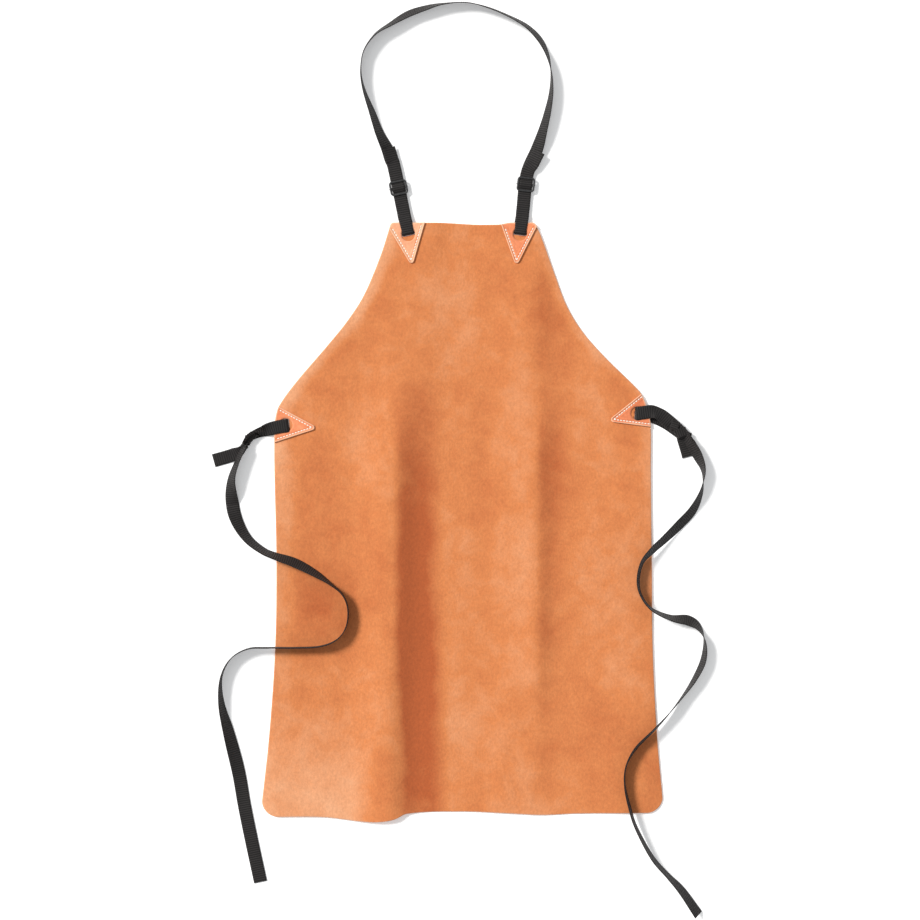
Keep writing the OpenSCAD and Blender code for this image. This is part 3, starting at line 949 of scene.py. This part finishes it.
def hide_tone_and_shade(x, y):
    """How light the leather is, from 0 to 1: its own colour, with painted shade and painted highlights along
    its folds and edges, and the painted shadow of the left tie.
    """
    from_left, from_right = x + edge_x(-1, y), edge_x(1, y) - x
    tone_and_shade = 0.50 + 0.10 * noise.noise(Vector((x / 55, y / 240, 9.0)))
    for change, mid_x, half_x, mid_y, half_y in TONE_AND_SHADE_SPOTS:
        tone_and_shade += change * bell(x, mid_x, half_x) * bell(y, mid_y, half_y)
    # Paler along the sides and in two places at the hem, and darker at its right. The paler bands along the
    # left-hand side are a painted highlight where that edge curls down towards the light
    tone_and_shade += 0.42 * (1 - smooth(from_left, 2, 30)) * smooth(y, 40, 160)
    tone_and_shade += 0.24 * (1 - smooth(from_left, 8, 42)) * (1 - smooth(y, 40, 160)) * smooth(y, -420, -60)
    tone_and_shade += 0.22 * (1 - smooth(from_right, 2, 24)) * smooth(y, -40, 120)
    tone_and_shade += 0.38 * (1 - smooth(x, -175, -118)) * smooth(-y, 250, 425)
    tone_and_shade += 0.10 * bell(x, 75, 110) * smooth(-y, 400, 435)
    tone_and_shade -= 0.10 * smooth(x, 150, 230) * smooth(-y, 230, 330)
    # Painted shade along the shaded side of each fold, and a painted highlight on the right-hand fold's
    # bright side
    slant = 12 * smooth(y, 60, 230) - 8 * smooth(-y, 180, 330)
    tone_and_shade -= 0.54 * curve_value(SHADE_A, y) * smooth(x + slant, -108, -86) * (1 - smooth(x + slant, -64, -22))
    right = curve_value(SHADE_B, y)
    tone_and_shade -= 0.30 * right * smooth(x, 108, 120) * (1 - smooth(x, 124, 178))
    return tone_and_shade + 0.10 * right * bell(x, 94, 16)


# Distances from an edge at which the hide's mesh has lines, for its rounded cut
RIM_STEPS = [0.0, 0.35, 0.8, 1.4, 2.4]
HIDE_COLUMNS = 196
HIDE_ROWS = 286


def hide_columns(half_left, half_right):
    """Places across the hide, close together near its edges."""
    left, right = RIM_STEPS[-1] - half_left, half_right - RIM_STEPS[-1]
    inner = [left + (right - left) * i / HIDE_COLUMNS for i in range(1, HIDE_COLUMNS)]
    return [d - half_left for d in RIM_STEPS] + inner + [half_right - d for d in reversed(RIM_STEPS)]


def hide_rows():
    """Places along the hide, close together at its ends and round its corners."""
    high, low = TOP_Y - TOP_CORNER, HEM_Y + CORNER
    rows = [TOP_Y - d for d in RIM_STEPS] + [high]
    rows += [high - (high - low) * i / HIDE_ROWS for i in range(1, HIDE_ROWS + 1)]
    rows += [low - CORNER * math.sin(math.radians(a)) for a in range(6, 82, 6)]
    rows += [HEM_Y + d for d in (0.28, 0.12, 0.04, 0.0)]
    return rows


def hide_mesh():
    """Both faces of the hide with a rounded, slightly uneven cut edge between them."""
    rows = hide_rows()
    verts, tone_and_shade_values, cuts = [], [], []
    for top in (True, False):
        for y in rows:
            half_left, half_right = edge_x(-1, y), edge_x(1, y)
            for x in hide_columns(half_left, half_right):
                inward = min(x + half_left, half_right - x, TOP_Y - y, y - HEM_Y)
                rough = 0.22 * noise.noise(Vector((x / 1.9, y / 1.9, 3.0))) * (1 - smooth(inward, 0, 3))
                round_off = (1 - clamp(inward / 1.3)) ** 2
                z = fold_height(x, y) + (LEATHER_T - 0.75 * round_off if top else 0.55 * round_off)
                verts.append(((x + rough * 0.8) * MM, (y + edge_shift(x, y) + rough) * MM, z * MM))
                tone_and_shade_values.append(hide_tone_and_shade(x, y))
                cuts.append(1 - smooth(inward, 0.2, 1.6))
    columns = len(verts) // (2 * len(rows))
    mesh = new_mesh("hide", verts, shell_faces(len(rows), columns, closed=False))
    fill_attribute(mesh, "tone_and_shade", tone_and_shade_values)
    fill_attribute(mesh, "cut", cuts)
    return mesh


# The direction in which the strap leaves each hole open, in degrees, and how far the hole reaches that way
OPEN_SIDE = {
    "neck_left": (-78, 1.3), "neck_right": (-97, 1.3), "waist_left": (2, 4.7), "waist_right": (176, 3.9),
}
HOLE_POINTS = 72


def hide_hole(place):
    """The outline of one hole in the hide, in metres. The hide reaches into its open side."""
    x, y = HOLES[place]
    toward, limit = OPEN_SIDE[place]
    b = math.radians(toward)
    points = []
    for k in range(HOLE_POINTS):
        off = 2 * math.pi * k / HOLE_POINTS - b
        ahead, aside = HOLE_R * math.cos(off), HOLE_R * math.sin(off)
        if ahead > limit:
            ahead = limit + 0.06 * (ahead - limit)
        px = x + ahead * math.cos(b) - aside * math.sin(b)
        py = y + ahead * math.sin(b) + aside * math.cos(b)
        points.append((px * MM, py * MM))
    return points


def punch(piece):
    """Cuts the four holes through the hide, with prisms from well under it to well over it."""
    cutter = bmesh.new()
    for place in HOLES:
        outline = hide_hole(place)
        low = [cutter.verts.new((x, y, -10 * MM)) for x, y in outline]
        high = [cutter.verts.new((x, y, 20 * MM)) for x, y in outline]
        n = len(outline)
        cutter.faces.new(list(reversed(low)))
        cutter.faces.new(high)
        for k in range(n):
            cutter.faces.new((low[k], low[(k + 1) % n], high[(k + 1) % n], high[k]))
    mesh = bpy.data.meshes.new("punch")
    cutter.to_mesh(mesh)
    cutter.free()
    tool = bpy.data.objects.new("punch", mesh)
    bpy.context.scene.collection.objects.link(tool)
    cut = piece.modifiers.new("holes", "BOOLEAN")
    cut.operation = "DIFFERENCE"
    cut.solver = "EXACT"
    cut.object = tool
    bpy.context.view_layer.update()
    result = bpy.data.meshes.new_from_object(piece.evaluated_get(bpy.context.evaluated_depsgraph_get()))
    piece.modifiers.remove(cut)
    piece.data = result
    bpy.data.objects.remove(tool)
    result.polygons.foreach_set("use_smooth", [True] * len(result.polygons))


hide = add_object("hide", hide_mesh(), HIDE)
punch(hide)
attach(hide, "apron")
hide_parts("apron_hide")


# ---- Patches and stitching ----

# The V of each patch's stitching: one end, its point, and its other end, in mm
V_LINES = {
    "neck_left": ((-106, 441), (-77.5, 393), (-62, 447)),
    "neck_right": ((63.5, 441), (80.5, 393), (106, 443)),
    "waist_left": ((-275, 168.5), (-226.5, 142.5), (-280, 125)),
    "waist_right": ((269, 189), (226, 154.5), (281, 147.5)),
}
PATCH_TONE = {"neck_left": 0.86, "neck_right": 0.40, "waist_left": 0.46, "waist_right": 0.30}
# How far a patch reaches outside its stitching, and how much it rises there
HEM_GAP = 4.0
RIM_LIFT = 1.2
PATCH_AROUND = 240
# Places between a patch's hole and its rim, as shares of the way, close together at both ends
PATCH_RINGS = [0.0, 0.01, 0.025] + [0.045 + 0.91 * i / 44 for i in range(45)] + [0.97, 0.985, 0.995, 1.0]
STITCH_PITCH = 4.6
STITCH_L = 3.7
THREAD_R = 0.80
THREAD_SIDES = 8
THREAD_CUTS = 9
# How far the pattern of the thread's twist moves on round it, in metres a radian
TWIST_LAY = 0.004 / 6.28


def stitch_distance(p, v):
    """Distance from p to the V's nearer leg, and how far along that leg, from its end."""
    found = []
    for end in (v[0], v[2]):
        leg = v[1] - end
        t = clamp((p - end).dot(leg) / leg.length_squared)
        found.append(((p - (end + leg * t)).length, t * leg.length))
    return min(found)


def v_outside(p, v):
    """How far p lies outside the V of the stitching, or how far inside it, as a negative number."""
    a, tip, b = v
    away = []
    for end, other in ((a, b), (b, a)):
        leg = (tip - end).normalized()
        out = Vector((-leg.y, leg.x))
        if out.dot(other - tip) > 0:
            out.negate()
        away.append((p - tip).dot(out))
    return max(away)


def inside_patch(p, v):
    """Whether p lies in the patch of the V: on the hide, and no more than HEM_GAP outside the V."""
    a, tip, b = v
    if not (-edge_x(-1, p.y) <= p.x <= edge_x(1, p.y) and p.y <= TOP_Y + edge_shift(p.x, TOP_Y)):
        return False
    if (p - tip).length <= HEM_GAP:
        return True
    if v_outside(p, v) > HEM_GAP:
        return False
    middle = ((a + b) / 2 - tip).normalized()
    return (p - tip).dot(middle) > -0.2 * HEM_GAP


def patch_reach(hole, way, v):
    """How far the patch reaches from its hole's middle in one direction, found by halving."""
    low, high = HOLE_R, 70.0
    for _ in range(26):
        mid = (low + high) / 2
        if inside_patch(hole + way * mid, v):
            low = mid
        else:
            high = mid
    return low


def patch(where):
    """A leather patch with a round hole, a rounded rim and the dimples that its stitches pull."""
    v = [Vector(q) for q in V_LINES[where]]
    hole = Vector(HOLES[where])
    angles = [2 * math.pi * k / PATCH_AROUND for k in range(PATCH_AROUND)]
    ways = [Vector((math.cos(a), math.sin(a))) for a in angles]
    reaches = [patch_reach(hole, way, v) for way in ways]
    verts, tone_and_shade_values, cuts = [], [], []
    for top in (True, False):
        for share in PATCH_RINGS:
            for way, reach in zip(ways, reaches):
                r = HOLE_R + (reach - HOLE_R) * share
                p = hole + way * r
                rim = min(r - HOLE_R, reach - r)
                near_hole = r < 0.5 * (HOLE_R + reach)
                round_off = (1 - clamp(rim / (2.6 if near_hole else 1.3))) ** 2
                outside = v_outside(p, v)
                z = fold_height(p.x, p.y) + LEATHER_T + RIM_LIFT * smooth(outside, 0.5, HEM_GAP)
                if top:
                    away, along = stitch_distance(p, v)
                    pull = math.exp(-((away / 1.25) ** 2))
                    z += PATCH_T - (0.9 if outside > 0 else 1.4) * round_off
                    z -= pull * (0.50 - 0.16 * math.cos(2 * math.pi * along / STITCH_PITCH))
                    if outside < 0:
                        z += 0.25 * bell(away, 2.6, 1.2)
                    z += 0.10 * noise.noise(Vector((p.x / 7, p.y / 7, 2.0)))
                verts.append((p.x * MM, p.y * MM, z * MM))
                tone_and_shade_values.append(PATCH_TONE[where] + 0.16 * noise.noise(Vector((p.x / 16, p.y / 16, 4.0))))
                cuts.append(0.8 * (1 - smooth(reach - r, 1.2, 3.6)) + 0.2 * (1 - smooth(rim, 0.4, 1.6)))
    mesh = new_mesh("patch_" + where, verts, shell_faces(len(PATCH_RINGS), PATCH_AROUND, closed=True))
    fill_attribute(mesh, "tone_and_shade", tone_and_shade_values)
    fill_attribute(mesh, "cut", cuts)
    piece = add_object("leather_patch_" + where, mesh, PATCH)
    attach(piece, "apron")
    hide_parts("patch_" + where)
    return piece


def stitch_places(where):
    """The middle and the direction of every stitch of one patch, from the V's point outwards."""
    start, tip, end = (Vector(q) for q in V_LINES[where])
    for far in (start, end):
        leg = far - tip
        way = leg.normalized()
        for i in range(int(leg.length / STITCH_PITCH + 0.55)):
            yield tip + way * STITCH_PITCH * (i + 0.5), way


def stitching(name, where, node, top):
    """The thread of one patch on one face: short plied stitches whose ends dip into the leather."""
    rng = random.Random(name)
    verts, faces, lay = [], [], []
    for middle, way in stitch_places(where):
        skew = rng.uniform(-0.07, 0.07)
        length = STITCH_L * rng.uniform(0.95, 1.04)
        turned_x = way.x * math.cos(skew) - way.y * math.sin(skew)
        turned_y = way.x * math.sin(skew) + way.y * math.cos(skew)
        run = Vector((turned_x, turned_y))
        side = Vector((-turned_y, turned_x))
        surface = fold_height(middle.x, middle.y)
        first = len(verts)
        for i in range(THREAD_CUTS):
            t = -1 + 2 * i / (THREAD_CUTS - 1)
            dip = 0.95 * abs(t) ** 3.0
            thick = THREAD_R * (1.0 - 0.18 * t ** 4)
            for k in range(THREAD_SIDES):
                a = 2 * math.pi * k / THREAD_SIDES
                twist = 1 + 0.10 * math.cos(2 * a + 7.0 * t)
                p = middle + run * t * length / 2 + side * thick * twist * math.cos(a)
                h = thick * twist * 0.85 * math.sin(a)
                z = surface + (LEATHER_T + PATCH_T - dip + h if top else 0.10 + dip + 0.7 * h)
                verts.append((p.x * MM, p.y * MM, z * MM))
                lay.append((t * length / 2 * MM, a * TWIST_LAY, 0))
        faces += [tuple(first + i for i in reversed(f)) for f in tube_faces(THREAD_CUTS, THREAD_SIDES)]
    mesh = new_mesh(name, verts, faces)
    fill_attribute(mesh, "lay", lay)
    piece = add_object(name, mesh, THREAD)
    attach(piece, "apron")
    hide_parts(node)
    return piece


for place in V_LINES:
    patch(place)
    stitching("top_stitches_" + place, place, "needle_thread_" + place, True)
    stitching("back_stitches_" + place, place, "bobbin_thread_" + place, False)


# ---- Floor ----

FLOOR_HALF = 25.0
FLOOR_Z = -0.0003
floor_corners = [(x * FLOOR_HALF, y * FLOOR_HALF, 0) for x, y in ((-1, -1), (1, -1), (1, 1), (-1, 1))]
floor = add_object("floor", new_mesh("floor", floor_corners, [(0, 1, 2, 3)]), FLOOR)
floor.location.z = FLOOR_Z
